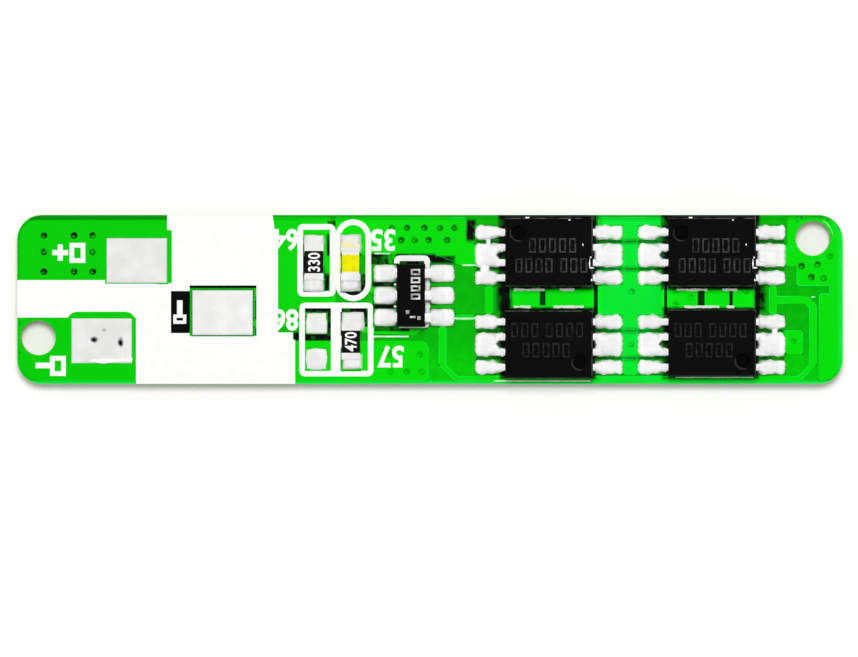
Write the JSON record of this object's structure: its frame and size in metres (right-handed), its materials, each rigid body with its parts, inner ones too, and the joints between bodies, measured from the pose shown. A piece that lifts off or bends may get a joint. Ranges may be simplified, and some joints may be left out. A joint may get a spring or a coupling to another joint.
{
  "type": "battery management board",
  "caption": "Long narrow green circuit board that protects a lithium cell, with transistor packages, a small controller and tinned wire pads.",
  "frame": {"origin": "centre of the board's outline, on the underside it rests on", "axes": "+X along the board, from the output pads to the transistors; +Z out of the component side"},
  "size_m": [0.0356, 0.0072, 0.002],
  "materials": {
    "green_mask": "gloss",
    "white_print": "satin",
    "laminate": "satin",
    "copper": "satin",
    "tin": "satin",
    "lead_metal": "satin",
    "black_moulding": "satin",
    "resistor_coat": "gloss",
    "white_ceramic": "matte",
    "yellow_ceramic": "satin"
  },
  "bodies": {
    "root": {"laminate": "laminate", "copper_front": "copper", "copper_back": "copper", "via_barrels": "copper", "solder_mask_front": "green_mask", "solder_mask_back": "green_mask", "silkscreen_front": "white_print", "output_pad_plus": "tin", "output_pad_minus": "tin", "sense_pad": "tin", "cell_pad_plus": "tin", "cell_pad_minus": "tin", "spare_resistor_pads": "tin", "controller_body": "black_moulding", "controller_leads": "lead_metal", "controller_solder": "tin", "capacitor_ceramic": "yellow_ceramic", "capacitor_caps": "tin", "capacitor_solder": "tin", "transistor_1_body": "black_moulding", "transistor_1_leads": "lead_metal", "transistor_1_solder": "tin", "transistor_2_body": "black_moulding", "transistor_2_leads": "lead_metal", "transistor_2_solder": "tin", "transistor_3_body": "black_moulding", "transistor_3_leads": "lead_metal", "transistor_3_solder": "tin", "transistor_4_body": "black_moulding", "transistor_4_leads": "lead_metal", "transistor_4_solder": "tin", "upper_resistor_ceramic": "white_ceramic", "upper_resistor_coat": "resistor_coat", "upper_resistor_caps": "tin", "upper_resistor_solder": "tin", "lower_resistor_ceramic": "white_ceramic", "lower_resistor_coat": "resistor_coat", "lower_resistor_caps": "tin", "lower_resistor_solder": "tin"}
  },
  "joints": []
}
